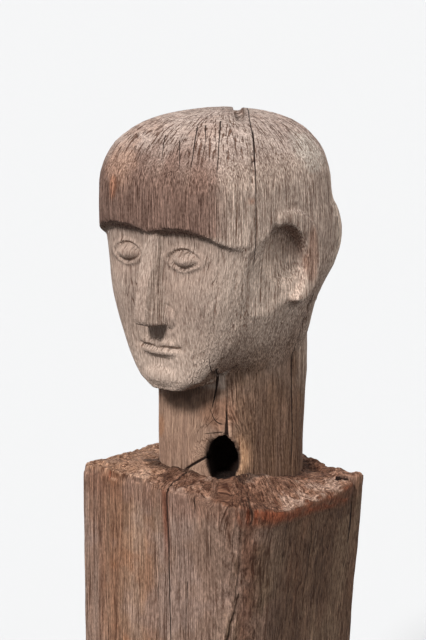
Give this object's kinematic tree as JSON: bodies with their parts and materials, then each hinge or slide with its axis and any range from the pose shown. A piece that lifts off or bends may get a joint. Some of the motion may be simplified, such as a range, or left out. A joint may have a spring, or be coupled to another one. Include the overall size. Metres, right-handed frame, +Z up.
{
  "type": "carved ancestor figure",
  "caption": "Weathered wooden ancestor figure cut from one squared log: plain calm head, thick neck and block trunk on a flat foot.",
  "frame": {"origin": "middle of the flat sawn foot of the trunk", "axes": "+Z up along the log, the face looks along -Y, the figure's left side is +X"},
  "size_m": [0.2027, 0.2278, 0.7],
  "materials": {
    "pale_wood": "weathered, dry, silvery grey-brown",
    "brown_wood": "weathered, dry, warm brown"
  },
  "bodies": {
    "root": {"head": "pale_wood", "neck": "pale_wood", "trunk": "brown_wood"}
  },
  "joints": []
}
